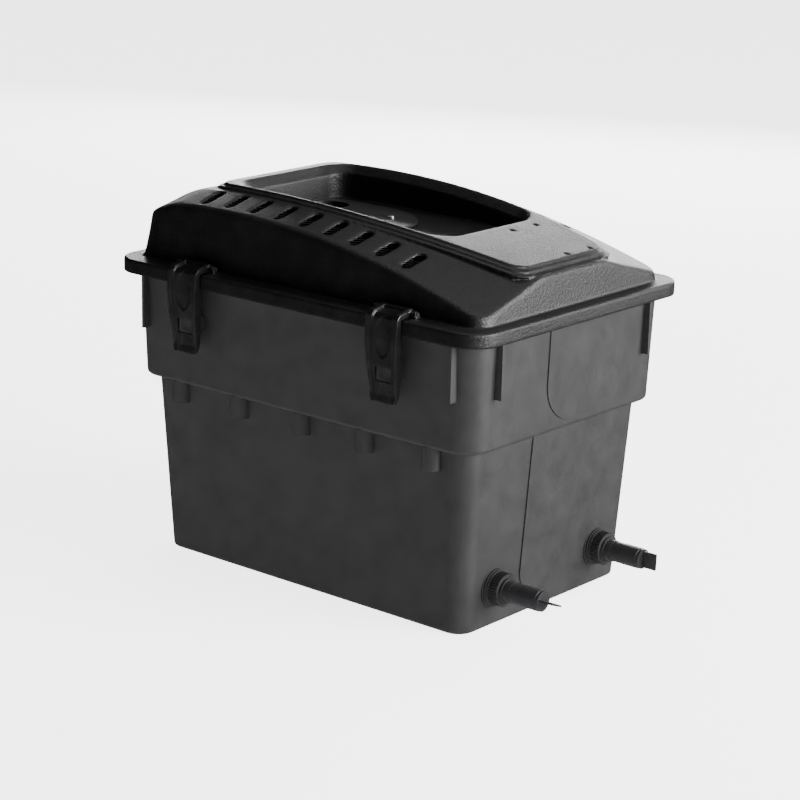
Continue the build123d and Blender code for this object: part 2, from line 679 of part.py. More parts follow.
def make_strainer(y):
    """Slotted cap over a hose tail's inner end."""
    inner = STRAINER_RADIUS - STRAINER_WALL
    with BuildPart() as strainer:
        with BuildSketch(port_plane(y, STRAINER_START)):
            Circle(STRAINER_RADIUS)
        extrude(amount=STRAINER_END - STRAINER_START)
        with BuildSketch(port_plane(y, STRAINER_START + STRAINER_WALL)):
            Circle(inner)
        extrude(amount=SPIGOT_START - STRAINER_START - STRAINER_WALL, mode=Mode.SUBTRACT)
        with BuildSketch(port_plane(y, STRAINER_START)):
            Circle(SPIGOT_RADIUS)
        extrude(amount=STRAINER_END - STRAINER_START, mode=Mode.SUBTRACT)
        with BuildSketch(port_plane(y, STRAINER_START)):
            Circle(inner)
        extrude(amount=STRAINER_WALL)
        with BuildSketch(port_plane(y, STRAINER_START + 3 * STRAINER_WALL)):
            with PolarLocations(STRAINER_RADIUS, STRAINER_SLOTS):
                Rectangle(3 * STRAINER_WALL, STRAINER_SLOT_WIDTH)
        extrude(amount=SPIGOT_START - STRAINER_START - 4 * STRAINER_WALL, mode=Mode.SUBTRACT)
    return strainer.part


def clip_side_view(grow_y, grow_z):
    """Side view of a front clip, moved back and down to give its inner outlines."""
    y0 = -CLIP_AXIS_Y
    under = RIM_TOP + 1.2
    front = -RIM_WIDTH / 2
    points = [(y0, CLIP_AXIS_Z + CLIP_BARREL_RADIUS), (front - 3.5, RIM_TOP + 7),
              (front - 8.5, RIM_TOP + 2), (front - 10.5, RIM_TOP - 22), (front - 9, RIM_TOP - 50),
              (front - 5.5, RIM_TOP - 72), (front - 3.5, RIM_TOP - 86), (front - 6, CLIP_BOTTOM),
              (front + 1, CLIP_BOTTOM), (front + 2, CLIP_BOTTOM + 9), (front + 16.5, CLIP_BOTTOM + 9),
              (front + 16, RIM_TOP - 74), (front + 8, RIM_TOP - 48), (front - 1.7, SKIRT_BOTTOM - 2),
              (front - 1.7, under), (y0, under)]
    with BuildSketch(Plane.YZ) as view:
        with BuildLine():
            Polyline(*[(y + grow_y, z - grow_z) for y, z in points], close=True)
        make_face()
        fillet(view.vertices().filter_by(lambda v: v.Y < front - 3 + grow_y and v.Z > CLIP_BOTTOM + 5), 4.0)
    return view.sketch


def clip_cut(back, drop, reach, keep_inside):
    """Space in front of, or behind, the side view moved back and down, over part of the clip's width."""
    with BuildPart() as cut:
        if keep_inside:
            extrude(clip_side_view(back, drop), amount=reach, both=True)
        else:
            with BuildSketch(Plane.YZ):
                with Locations((-RIM_WIDTH / 2, RIM_TOP - 40)):
                    Rectangle(70, 140)
            extrude(amount=reach, both=True)
            extrude(clip_side_view(back, drop), amount=reach, both=True, mode=Mode.SUBTRACT)
    return cut.part


def make_clip(x, sign):
    """Swinging clip: two rails and side walls, a recessed web with thumb scoop and window, and a barrel."""
    half = CLIP_HALF_WIDTH
    foot = CLIP_FOOT_HALF_WIDTH
    top = CLIP_AXIS_Z + CLIP_BARREL_RADIUS + 1
    knee = RIM_TOP - 26
    axis = (-CLIP_AXIS_Y, CLIP_AXIS_Z)
    lip_front = RIM_WIDTH / 2 - SKIRT_WALL - TANK_RIM_GAP + CLIP_LIP_CLEARANCE
    recess = clip_cut(CLIP_RECESS, CLIP_RECESS * 0.7, foot - CLIP_RAIL + 1, False)
    hollow = clip_cut(CLIP_WEB_BACK, CLIP_WEB_BACK * 0.8, foot - CLIP_SIDE, True)
    with BuildPart() as clip:
        extrude(clip_side_view(0, 0), amount=half, both=True)
        with BuildSketch(Plane.XZ) as front_view:
            with BuildLine():
                Polyline((-half, top), (half, top), (half, knee), (foot, CLIP_BOTTOM), (-foot, CLIP_BOTTOM),
                         (-half, knee), close=True)
            make_face()
            fillet(front_view.vertices().group_by(Axis.Z)[0], 7.0)
        extrude(amount=RIM_WIDTH, mode=Mode.INTERSECT)
        add(recess, mode=Mode.SUBTRACT)
        add(hollow, mode=Mode.SUBTRACT)
        with BuildSketch(Plane.XZ.offset(RIM_WIDTH / 2 + 20)):
            with Locations((0, (CLIP_WINDOW_BOTTOM + CLIP_WINDOW_TOP) / 2)):
                Rectangle(CLIP_WINDOW_WIDTH, CLIP_WINDOW_TOP - CLIP_WINDOW_BOTTOM)
        extrude(amount=-30, mode=Mode.SUBTRACT)
        with BuildSketch(Plane.XY.offset(0)):
            with Locations((0, CATCH_FRONT / 2 - CLIP_CHANNEL_FRONT)):
                Rectangle(2 * (foot - CLIP_SIDE), CATCH_FRONT)
        extrude(amount=SKIRT_BOTTOM - 4, mode=Mode.SUBTRACT)
        with BuildSketch(Plane.XY.offset(0)):
            with Locations((0, -lip_front / 2)):
                Rectangle(3 * half, lip_front)
        extrude(amount=SKIRT_BOTTOM, mode=Mode.SUBTRACT)
        with BuildSketch(Plane.YZ):
            with Locations(axis):
                Circle(CLIP_BARREL_RADIUS)
        extrude(amount=half, both=True)
        with BuildSketch(Plane.YZ):
            with Locations(axis):
                Circle(CLIP_BORE_RADIUS)
        extrude(amount=half, both=True, mode=Mode.SUBTRACT)
    part = clip.part if sign < 0 else clip.part.rotate(Axis.Z, 180)
    return part.moved(Location((x, 0, 0)))


def make_pins():
    """The four clip hinge pins."""
    length = CLIP_HALF_WIDTH + LUG_GAP + LUG_WIDTH
    with BuildPart() as pins:
        for x, sign in clip_places():
            with BuildSketch(Plane.YZ.offset(x)):
                with Locations((sign * CLIP_AXIS_Y, CLIP_AXIS_Z)):
                    Circle(PIN_RADIUS)
            extrude(amount=length, both=True)
    return pins.part


def make_seal():
    """Flat seal between the lid's rim and the tank's rim."""
    with BuildPart() as seal:
        with BuildSketch(Plane.XY.offset(TANK_TOP)):
            RectangleRounded(SEAL_OUTER_LENGTH, SEAL_OUTER_WIDTH, RIM_RADIUS - SEAL_WIDTH)
            RectangleRounded(SEAL_OUTER_LENGTH - 2 * SEAL_WIDTH, SEAL_OUTER_WIDTH - 2 * SEAL_WIDTH,
                             RIM_RADIUS - 2 * SEAL_WIDTH, mode=Mode.SUBTRACT)
        extrude(amount=RIM_TOP - RIM_THICKNESS - TANK_TOP)
    return seal.part


def cover_sheet(z, thickness, inset):
    """Oval sheet with the inlet and the screw holes through it."""
    with BuildPart() as sheet:
        with BuildSketch(Plane.XY.offset(z)):
            with Locations((COVER_CENTRE_X, 0)):
                Ellipse(COVER_HALF_LENGTH - inset, COVER_HALF_WIDTH - inset)
            with Locations((COVER_HEEL_X, 0)):
                RectangleRounded(COVER_HEEL_LENGTH - 2 * inset, 2 * (COVER_HALF_WIDTH - inset),
                                 COVER_HEEL_RADIUS - inset)
            with Locations((INLET_X, 0)):
                RectangleRounded(INLET_LENGTH, INLET_WIDTH, INLET_RADIUS, mode=Mode.SUBTRACT)
            with Locations(*screw_places()):
                Circle(SCREW_SHANK_RADIUS + 0.1, mode=Mode.SUBTRACT)
        extrude(amount=thickness)
    return sheet.part


def make_screws():
    """Two cover screws with slotted heads."""
    top = TRAY_FLOOR_Z + COVER_GASKET_THICKNESS + COVER_THICKNESS
    with BuildPart() as screws:
        with BuildSketch(Plane.XY.offset(top)):
            with Locations(*screw_places()):
                Circle(SCREW_HEAD_RADIUS)
        extrude(amount=SCREW_HEAD_HEIGHT)
        fillet(screws.faces().group_by(Axis.Z)[-1].edges(), 0.9)
        with BuildSketch(Plane.XY.offset(top)):
            with Locations(*screw_places()):
                Circle(SCREW_SHANK_RADIUS)
        extrude(amount=-SCREW_LENGTH)
        with BuildSketch(Plane.XY.offset(top + SCREW_HEAD_HEIGHT)):
            with Locations(*screw_places()):
                Rectangle(2 * SCREW_HEAD_RADIUS, 1.0)
                Rectangle(1.0, 2 * SCREW_HEAD_RADIUS)
        extrude(amount=-1.2, mode=Mode.SUBTRACT)
    return screws.part


def make_media_tray():
    """Slotted plate that rests on the shoulder, with pegs that stand in the wells."""
    low = SHOULDER_Z + TANK_WALL
    with BuildPart() as tray:
        with BuildSketch(Plane.XY.offset(low)):
            RectangleRounded(TRAY_PLATE_LENGTH, TRAY_PLATE_WIDTH, MAT_RADIUS)
            with GridLocations(SLOT_LENGTH + 9, SLOT_WIDTH + 9, 6, 15):
                SlotOverall(SLOT_LENGTH, SLOT_WIDTH, mode=Mode.SUBTRACT)
        extrude(amount=TRAY_PLATE_THICKNESS)
        for sign in SIDES.values():
            with BuildSketch(Plane.XY.offset(WELL_BOTTOM + TANK_WALL + 1)):
                with Locations((0, sign * WELL_Y)):
                    with GridLocations(WELL_PITCH, 1, WELL_COUNT, 1):
                        Circle(TRAY_PEG_RADIUS)
            extrude(amount=low - WELL_BOTTOM - TANK_WALL - 1)
        with BuildSketch(Plane.XY.offset(WELL_BOTTOM)):
            Rectangle(RIM_LENGTH, 2 * (WELL_Y - TRAY_PEG_RADIUS))
        extrude(amount=low - WELL_BOTTOM, mode=Mode.SUBTRACT)
    return tray.part


def make_mat(z, thickness):
    """Foam mat that lies in the upper part of the tank."""
    with BuildPart() as mat:
        with BuildSketch(Plane.XY.offset(z)):
            RectangleRounded(MAT_LENGTH, MAT_WIDTH, MAT_RADIUS)
        extrude(amount=thickness)
    return mat.part


def make_base_grid():
    """Slotted grid on legs that keeps the media off the tank's floor."""
    with BuildPart() as grid:
        with BuildSketch(Plane.XY.offset(GRID_Z)):
            RectangleRounded(GRID_LENGTH, GRID_WIDTH, BASE_RADIUS - TANK_WALL)
            with GridLocations(SLOT_LENGTH + 9, SLOT_WIDTH + 9, 6, 15):
                SlotOverall(SLOT_LENGTH, SLOT_WIDTH, mode=Mode.SUBTRACT)
        extrude(amount=GRID_THICKNESS)
        with BuildSketch(Plane.XY.offset(TANK_WALL)):
            with GridLocations(LEG_X, 2 * LEG_Y, 3, 2):
                Circle(LEG_RADIUS)
        extrude(amount=GRID_Z + GRID_THICKNESS - TANK_WALL)
    return grid.part


def make_block(index):
    """One upright foam block standing on the base grid."""
    low = GRID_Z + GRID_THICKNESS
    x = (index - (BLOCK_COUNT - 1) / 2) * (BLOCK_LENGTH + BLOCK_GAP)
    with BuildPart() as block:
        with BuildSketch(Plane.XY.offset(low)):
            with Locations((x, 0)):
                RectangleRounded(BLOCK_LENGTH, BLOCK_WIDTH, 3.0)
        extrude(amount=BLOCK_TOP - low)
    return block.part


def build_parts():
    """Every piece by the name of its file."""
    flange_in = PORT_SEAT_IN - GASKET_THICKNESS
    tray_top = SHOULDER_Z + TANK_WALL + TRAY_PLATE_THICKNESS
    parts = {
        "tank": make_tank(),
        "lid": make_lid(),
        "lid_seal": make_seal(),
        "clip_hinge_pins": make_pins(),
        "inlet_cover_gasket": cover_sheet(TRAY_FLOOR_Z, COVER_GASKET_THICKNESS, 4.0),
        "inlet_cover": cover_sheet(TRAY_FLOOR_Z + COVER_GASKET_THICKNESS, COVER_THICKNESS, 0.0),
        "inlet_cover_screws": make_screws(),
        "media_tray": make_media_tray(),
        "coarse_foam_mat": make_mat(tray_top, COARSE_MAT_THICKNESS),
        "fine_foam_mat": make_mat(tray_top + COARSE_MAT_THICKNESS, FINE_MAT_THICKNESS),
        "base_grid": make_base_grid(),
    }
    for x, sign in clip_places():
        end = "left" if x < 0 else "right"
        side = "front" if sign < 0 else "back"
        parts[f"{side}_{end}_clip"] = make_clip(x, sign)
    for name, y in port_places().items():
        washer_x = PORT_SEAT_OUT + GASKET_THICKNESS
        ring_plane = port_plane(y, TAIL_END - PLUG_LENGTH + RING_FROM_END)
        parts[f"{name}_hose_tail"] = make_tail(y)
        parts[f"{name}_inner_gasket"] = ring(port_plane(y, flange_in), INNER_FLANGE_RADIUS, SHANK_RADIUS,
                                             GASKET_THICKNESS)
        parts[f"{name}_outer_gasket"] = ring(port_plane(y, PORT_SEAT_OUT), OUTER_GASKET_RADIUS,
                                             SHANK_RADIUS, GASKET_THICKNESS)
        parts[f"{name}_washer"] = ring(port_plane(y, washer_x), WASHER_RADIUS, SHANK_RADIUS,
                                       WASHER_THICKNESS)
        parts[f"{name}_lock_nut"] = make_nut(y)
        parts[f"{name}_plug"] = make_plug(y, PLUG_TURNS[name])
        parts[f"{name}_plug_ring"] = ring(ring_plane, PLUG_RADIUS, RING_GROOVE_RADIUS, RING_WIDTH)
        parts[f"{name}_strainer"] = make_strainer(y)
    for index in range(BLOCK_COUNT):
        parts[f"foam_block_{index + 1}"] = make_block(index)
    return parts


os.makedirs("parts", exist_ok=True)
for name, part in build_parts().items():
    part.label = name
    export_step(part, f"parts/{name}.step")
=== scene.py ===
import json
import math
import bmesh
import bpy
from mathutils import Matrix, Vector, noise


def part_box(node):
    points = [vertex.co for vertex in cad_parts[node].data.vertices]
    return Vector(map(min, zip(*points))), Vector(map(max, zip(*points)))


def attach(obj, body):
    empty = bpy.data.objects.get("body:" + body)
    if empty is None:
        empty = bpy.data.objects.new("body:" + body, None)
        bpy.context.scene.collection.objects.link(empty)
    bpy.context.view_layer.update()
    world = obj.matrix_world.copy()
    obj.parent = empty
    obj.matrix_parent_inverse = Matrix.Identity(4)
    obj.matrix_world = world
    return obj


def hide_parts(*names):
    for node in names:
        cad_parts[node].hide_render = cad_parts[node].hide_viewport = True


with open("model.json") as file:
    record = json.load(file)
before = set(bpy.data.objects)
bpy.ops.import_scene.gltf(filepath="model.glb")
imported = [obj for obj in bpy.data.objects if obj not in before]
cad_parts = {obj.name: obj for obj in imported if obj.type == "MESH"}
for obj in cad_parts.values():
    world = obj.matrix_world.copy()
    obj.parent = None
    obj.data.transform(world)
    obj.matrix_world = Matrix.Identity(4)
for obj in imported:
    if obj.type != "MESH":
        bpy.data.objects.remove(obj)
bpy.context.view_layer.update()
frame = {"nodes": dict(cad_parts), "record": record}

# Lengths are in metres unless the name ends in MM.
# The lid's plan and levels, which choose what is softened
LID_VOXEL, LID_PASSES, EAVE_PASSES = 0.0015, 4, 70
DECK_HALF_WIDTH_MM, DECK_CENTRE_MM, DECK_BOW_MM = 118.0, -50.0, 3000.0
DECK_LEFT_MM, DECK_RIGHT_MM, DECK_MARGIN_MM, EAVE_FADE_MM = -207.0, 254.0, 2.0, 5.0
VENT_Y, VENT_HALF_WIDTH, VENTS_LEFT, VENTS_RIGHT = 0.137, 0.023, -0.195, 0.150
RIM_LEVEL, RIM_FADE = 0.3705, 0.006
# The lid's left end, where the crown runs down
END_START, END_RUN, END_HALF_WIDTH, END_CURVE = -0.200, 0.057, 0.174, 1.7
END_DROP, END_CROWN_DROP, END_FOOT, END_RISE = 0.010, 0.012, 0.368, 0.045
# The two hollows in a clip's front
CLIP_X, CLIP_VOXEL, CLIP_PASSES = 0.153, 0.0009, 3
CLIP_FACING, CLIP_INNER_HALF = 0.45, 0.0145
THUMB_Z, THUMB_HALF_HEIGHT, THUMB_HALF_WIDTH, THUMB_DEPTH = 0.345, 0.024, 0.0125, 0.0022
FLARE_TOP, FLARE_RUN, FLARE_WIDTH, FLARE_GROWTH, FLARE_DEPTH = 0.292, 0.020, 0.004, 0.010, 0.0018
# Foam: clearance from its neighbours, cell size, unevenness and drawn-in sides
FOAM_INSET = Vector((0.0012, 0.0012, 0.0006))
FOAM_CELL, FOAM_UNEVEN, FOAM_PULL = 0.012, 0.0006, 0.006
# The camera
CAMERA_DEGREES = (39.8384, 16.5144, 1.3046)
CAMERA_AIM, CAMERA_DISTANCE = Vector((0, 0, 0.168)), 2.98875
FLOOR_HALF = 16.0


# ---------------------------------------------------------------- materials
def node(tree, kind, **values):
    """A shader node, its settings and unlinked inputs set by name."""
    made = tree.nodes.new(kind)
    for key, value in values.items():
        if hasattr(made, key):
            setattr(made, key, value)
        else:
            made.inputs[key.replace("_", " ")].default_value = value
    return made


def moulded(name, dark, light, rough, grain, depth, specular=0.5):
    """Moulded plastic or rubber: a two-scale grain in the bump, and slow changes in tone and gloss."""
    made = bpy.data.materials.new(name)
    made.use_nodes = True
    tree = made.node_tree
    shader = tree.nodes["Principled BSDF"]
    where = node(tree, "ShaderNodeTexCoord")
    fine = node(tree, "ShaderNodeTexNoise", Scale=grain, Detail=3.0, Roughness=0.65)
    cells = node(tree, "ShaderNodeTexVoronoi", Scale=grain * 0.55)
    slow = node(tree, "ShaderNodeTexNoise", Scale=40.0, Detail=4.0)
    for texture in (fine, cells, slow):
        tree.links.new(where.outputs["Object"], texture.inputs["Vector"])
    tone = node(tree, "ShaderNodeMix", data_type="RGBA")
    tone.inputs[6].default_value = (*dark, 1)
    tone.inputs[7].default_value = (*light, 1)
    both = node(tree, "ShaderNodeMath", operation="MULTIPLY_ADD")
    both.inputs[1].default_value = 0.6
    tree.links.new(fine.outputs["Fac"], both.inputs[0])
    tree.links.new(slow.outputs["Fac"], both.inputs[2])
    spread = node(tree, "ShaderNodeMapRange")
    spread.inputs["From Min"].default_value = 0.5
    spread.inputs["From Max"].default_value = 1.1
    tree.links.new(both.outputs[0], spread.inputs["Value"])
    tree.links.new(spread.outputs[0], tone.inputs[0])
    tree.links.new(tone.outputs[2], shader.inputs["Base Color"])
    gloss = node(tree, "ShaderNodeMapRange")
    gloss.inputs["To Min"].default_value = rough[0]
    gloss.inputs["To Max"].default_value = rough[1]
    tree.links.new(slow.outputs["Fac"], gloss.inputs["Value"])
    tree.links.new(gloss.outputs[0], shader.inputs["Roughness"])
    height = node(tree, "ShaderNodeMath", operation="MULTIPLY_ADD")
    height.inputs[1].default_value = 0.5
    tree.links.new(cells.outputs["Distance"], height.inputs[0])
    tree.links.new(fine.outputs["Fac"], height.inputs[2])
    bump = node(tree, "ShaderNodeBump", Strength=1.0, Distance=depth)
    tree.links.new(height.outputs[0], bump.inputs["Height"])
    tree.links.new(bump.outputs[0], shader.inputs["Normal"])
    shader.inputs["Specular IOR Level"].default_value = specular
    return made


def brushed(name):
    """Zinc-plated steel with fine drawn lines along X."""
    made = bpy.data.materials.new(name)
    made.use_nodes = True
    tree = made.node_tree
    shader = tree.nodes["Principled BSDF"]
    where = node(tree, "ShaderNodeTexCoord")
    stretch = node(tree, "ShaderNodeMapping")
    stretch.inputs["Scale"].default_value = (60.0, 2600.0, 2600.0)
    lines = node(tree, "ShaderNodeTexNoise", Scale=1.0, Detail=3.0)
    tree.links.new(where.outputs["Object"], stretch.inputs["Vector"])
    tree.links.new(stretch.outputs[0], lines.inputs["Vector"])
    tone = node(tree, "ShaderNodeMix", data_type="RGBA")
    tone.inputs[6].default_value = (0.42, 0.42, 0.41, 1)
    tone.inputs[7].default_value = (0.66, 0.66, 0.64, 1)
    tree.links.new(lines.outputs["Fac"], tone.inputs[0])
    tree.links.new(tone.outputs[2], shader.inputs["Base Color"])
    gloss = node(tree, "ShaderNodeMapRange")
    gloss.inputs["To Min"].default_value = 0.22
    gloss.inputs["To Max"].default_value = 0.42
    tree.links.new(lines.outputs["Fac"], gloss.inputs["Value"])
    tree.links.new(gloss.outputs[0], shader.inputs["Roughness"])
    shader.inputs["Metallic"].default_value = 1.0
    return made


def foam(name, dark, light, pores):
    """Open-cell foam: pores of two sizes, with painted shade darkening their insides."""
    made = bpy.data.materials.new(name)
    made.use_nodes = True
    tree = made.node_tree
    shader = tree.nodes["Principled BSDF"]
    where = node(tree, "ShaderNodeTexCoord")
    large = node(tree, "ShaderNodeTexVoronoi", Scale=pores)
    small = node(tree, "ShaderNodeTexVoronoi", Scale=pores * 2.7)
    slow = node(tree, "ShaderNodeTexNoise", Scale=25.0, Detail=3.0)
    for texture in (large, small, slow):
        tree.links.new(where.outputs["Object"], texture.inputs["Vector"])
    # The pores' depth sets both their bump and a painted shade inside them; the slow noise adds real
    # changes in tone.
    depth = node(tree, "ShaderNodeMath", operation="MULTIPLY")
    tree.links.new(large.outputs["Distance"], depth.inputs[0])
    tree.links.new(small.outputs["Distance"], depth.inputs[1])
    spread = node(tree, "ShaderNodeMapRange")
    spread.inputs["From Max"].default_value = 0.35
    tree.links.new(depth.outputs[0], spread.inputs["Value"])
    tone = node(tree, "ShaderNodeMix", data_type="RGBA")
    tone.inputs[6].default_value = (*dark, 1)
    tone.inputs[7].default_value = (*light, 1)
    tone_and_pore_shade = node(tree, "ShaderNodeMath", operation="MULTIPLY_ADD")
    tone_and_pore_shade.inputs[1].default_value = 0.35
    tree.links.new(slow.outputs["Fac"], tone_and_pore_shade.inputs[0])
    tree.links.new(spread.outputs[0], tone_and_pore_shade.inputs[2])
    tree.links.new(tone_and_pore_shade.outputs[0], tone.inputs[0])
    tree.links.new(tone.outputs[2], shader.inputs["Base Color"])
    bump = node(tree, "ShaderNodeBump", Strength=1.0, Distance=0.0016)
    tree.links.new(spread.outputs[0], bump.inputs["Height"])
    tree.links.new(bump.outputs[0], shader.inputs["Normal"])
    shader.inputs["Roughness"].default_value = 0.95
    shader.inputs["Specular IOR Level"].default_value = 0.2
    return made


# Name, darkest and lightest colour, range of roughness, grain per metre, depth of grain in metres
LOOKS = {
    "lid_black_plastic": moulded(
        "lid_black_grain", (0.0018, 0.0018, 0.002), (0.0050, 0.0050, 0.0054),
        (0.37, 0.49), 620.0, 0.00060),
    "tank_grey_plastic": moulded(
        "tank_anthracite", (0.0125, 0.0122, 0.0128), (0.0190, 0.0186, 0.0194),
        (0.40, 0.52), 1500.0, 0.00005),
    "clip_plastic": moulded(
        "clip_black", (0.004, 0.004, 0.0045), (0.009, 0.009, 0.0095),
        (0.24, 0.36), 1300.0, 0.00006),
    "fitting_plastic": moulded(
        "fitting_black", (0.011, 0.011, 0.012), (0.019, 0.019, 0.020),
        (0.34, 0.48), 1300.0, 0.00005),
    "inlet_cover_plastic": moulded(
        "inlet_cover_satin", (0.014, 0.014, 0.015), (0.022, 0.022, 0.023),
        (0.36, 0.46), 1400.0, 0.00005),
    "inner_plastic": moulded(
        "inner_matt_plastic", (0.020, 0.021, 0.022), (0.032, 0.033, 0.034),
        (0.50, 0.62), 1100.0, 0.00008),
    "seal_rubber": moulded(
        "seal_rubber", (0.010, 0.010, 0.010), (0.018, 0.018, 0.018),
        (0.66, 0.82), 1800.0, 0.00004, specular=0.35),
    "pin_steel": brushed("pin_zinc_steel"),
    # For foam the darkest colour is the painted shade deep inside the pores.
    "coarse_foam": foam("coarse_foam_blue", (0.006, 0.016, 0.035), (0.035, 0.095, 0.200), 210.0),
    "fine_foam": foam("fine_foam_cream", (0.110, 0.098, 0.068), (0.520, 0.480, 0.360), 420.0),
    "block_foam": foam("block_foam_black", (0.008, 0.009, 0.010), (0.048, 0.050, 0.054), 260.0),
}
SLOTS = {entry["node"]: entry["material_slot"] for entry in frame["record"]["subparts"]}


def paint(piece, slot):
    """One material all over a piece."""
    piece.data.materials.clear()
    piece.data.materials.append(LOOKS[slot])


for name, piece in frame["nodes"].items():
    for holder in piece.material_slots:
        holder.material = LOOKS[SLOTS[name]]


# ---------------------------------------------------------------- shaped pieces
def rounded_copy(source, name, voxel, passes):
    """A copy of a CAD piece, remeshed and smoothed until its edges are rounded like a moulding's."""
    piece = bpy.data.objects.new(name, frame["nodes"][source].data.copy())
    bpy.context.collection.objects.link(piece)
    remesh = piece.modifiers.new("remesh", "REMESH")
    remesh.mode = "VOXEL"
    remesh.voxel_size = voxel
    smooth = piece.modifiers.new("smooth", "SMOOTH")
    smooth.factor = 0.5
    smooth.iterations = passes
    graph = bpy.context.evaluated_depsgraph_get()
    mesh = bpy.data.meshes.new_from_object(piece.evaluated_get(graph))
    piece.modifiers.clear()
    piece.data = mesh
    mesh.shade_smooth()
    paint(piece, SLOTS[source])
    return piece


def stand_in(piece, source, body):
    """The piece takes the CAD node's place on a body."""
    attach(piece, body)
    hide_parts(source)


def scoop_clip(piece, sign, x):
    """Presses the thumb hollow and the flared foot hollow into the front of a clip."""
    for vertex in piece.data.vertices:
        across = vertex.co.x - x
        height = vertex.co.z
        if vertex.normal.y * sign < CLIP_FACING or abs(across) > CLIP_INNER_HALF:
            continue
        lens = 1 - ((height - THUMB_Z) / THUMB_HALF_HEIGHT) ** 2
        press = 0.0
        if lens > 0:
            wide = THUMB_HALF_WIDTH * lens ** 0.7
            press = THUMB_DEPTH * max(0.0, 1 - (across / max(wide, 1e-6)) ** 2) ** 0.6
        flare = (FLARE_TOP - height) / FLARE_RUN
        if 0 < flare < 1.2:
            spread = FLARE_WIDTH + FLARE_GROWTH * flare
            press = FLARE_DEPTH * max(0.0, 1 - (across / spread) ** 2) ** 0.5
        vertex.co.y -= sign * press


def soften(piece, weigh, passes):
    """Smooths a piece only where weigh(point) is over zero."""
    group = piece.vertex_groups.new(name="soft")
    for vertex in piece.data.vertices:
        weight = weigh(vertex.co)
        if weight > 0:
            group.add([vertex.index], min(1.0, weight), "REPLACE")
    smooth = piece.modifiers.new("soften", "SMOOTH")
    smooth.factor = 0.5
    smooth.iterations = passes
    smooth.vertex_group = "soft"
    graph = bpy.context.evaluated_depsgraph_get()
    mesh = bpy.data.meshes.new_from_object(piece.evaluated_get(graph))
    piece.modifiers.clear()
    piece.data = mesh
    piece.vertex_groups.clear()


def eave_weight(point):
    """1 on the lid's eaves, hips and end walls, 0 on its deck, vents and rim."""
    x_mm, y_mm = point.x * 1000, abs(point.y) * 1000
    side = DECK_HALF_WIDTH_MM - (x_mm - DECK_CENTRE_MM) ** 2 / DECK_BOW_MM
    off_deck = max(y_mm - side, DECK_LEFT_MM - x_mm, x_mm - DECK_RIGHT_MM)
    near_vent = abs(abs(point.y) - VENT_Y) < VENT_HALF_WIDTH and VENTS_LEFT < point.x < VENTS_RIGHT
    if near_vent or off_deck < DECK_MARGIN_MM or point.z < RIM_LEVEL:
        return 0.0
    outward = min(1.0, (off_deck - DECK_MARGIN_MM) / EAVE_FADE_MM)
    return outward * min(1.0, (point.z - RIM_LEVEL) / RIM_FADE)


def round_left_end(piece):
    """Lowers the lid's crown towards its left end, so that the roof runs down into the end wall."""
    for vertex in piece.data.vertices:
        share = min(1.0, max(0.0, (END_START - vertex.co.x) / END_RUN))
        if share > 0:
            dome = math.sqrt(max(0.0, 1 - (vertex.co.y / END_HALF_WIDTH) ** 2))
            crown = END_DROP + END_CROWN_DROP * dome
            lift = min(1.0, max(0.0, (vertex.co.z - END_FOOT) / END_RISE))
            vertex.co.z -= crown * share ** END_CURVE * lift


lid_piece = rounded_copy("lid", "lid_shell", LID_VOXEL, LID_PASSES)
round_left_end(lid_piece)
soften(lid_piece, eave_weight, EAVE_PASSES)
stand_in(lid_piece, "lid", "lid_body")

for end, sign in (("front", -1), ("back", 1)):
    for side, x in (("left", -CLIP_X), ("right", CLIP_X)):
        clip = rounded_copy(f"{end}_{side}_clip", f"{end}_{side}_clip_moulding", CLIP_VOXEL, CLIP_PASSES)
        scoop_clip(clip, sign, x)
        stand_in(clip, f"{end}_{side}_clip", f"{end}_{side}_clip_body")


def foam_piece(source, body, radius, crown):
    """Soft foam in a CAD solid's space: crowned top, drawn-in sides, rounded and slightly uneven edges."""
    low, high = (Vector(corner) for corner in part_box(source))
    low, high = low + FOAM_INSET, high - FOAM_INSET
    size, centre = high - low, (high + low) / 2
    shape = bmesh.new()
    bmesh.ops.create_cube(shape, size=1.0)
    for vertex in shape.verts:
        vertex.co = Vector(a * b for a, b in zip(vertex.co, size))
    bmesh.ops.bevel(shape, geom=shape.edges[:], offset=radius, segments=3, affect="EDGES", profile=0.5)
    for axis in range(3):
        steps = int(size[axis] / FOAM_CELL)
        normal = Vector([1.0 if axis == k else 0.0 for k in range(3)])
        for index in range(1, steps):
            place = normal * (-size[axis] / 2 + size[axis] * index / steps)
            everything = shape.verts[:] + shape.edges[:] + shape.faces[:]
            bmesh.ops.bisect_plane(shape, geom=everything, plane_co=place, plane_no=normal)
    for vertex in shape.verts:
        share = Vector(a / (b / 2) for a, b in zip(vertex.co, size))
        dome = (1 - share.x ** 2) * (1 - share.y ** 2)
        uneven = noise.noise(vertex.co * 45.0 + Vector((0, 0, size.z * 100))) * FOAM_UNEVEN
        pull = 1 - FOAM_PULL * (1 - share.z ** 2)
        vertex.co.x *= pull
        vertex.co.y *= pull
        vertex.co.z -= (crown * (1 - dome) + FOAM_UNEVEN + uneven) * max(0.0, share.z)
        vertex.co += centre
    mesh = bpy.data.meshes.new(f"{source}_soft")
    shape.to_mesh(mesh)
    shape.free()
    mesh.shade_smooth()
    piece = bpy.data.objects.new(f"{source}_soft", mesh)
    bpy.context.collection.objects.link(piece)
    paint(piece, SLOTS[source])
    stand_in(piece, source, body)


foam_piece("coarse_foam_mat", "tank_body", 0.004, 0.0012)
foam_piece("fine_foam_mat", "tank_body", 0.004, 0.0018)
for index in range(1, 5):
    foam_piece(f"foam_block_{index}", "tank_body", 0.005, 0.0020)

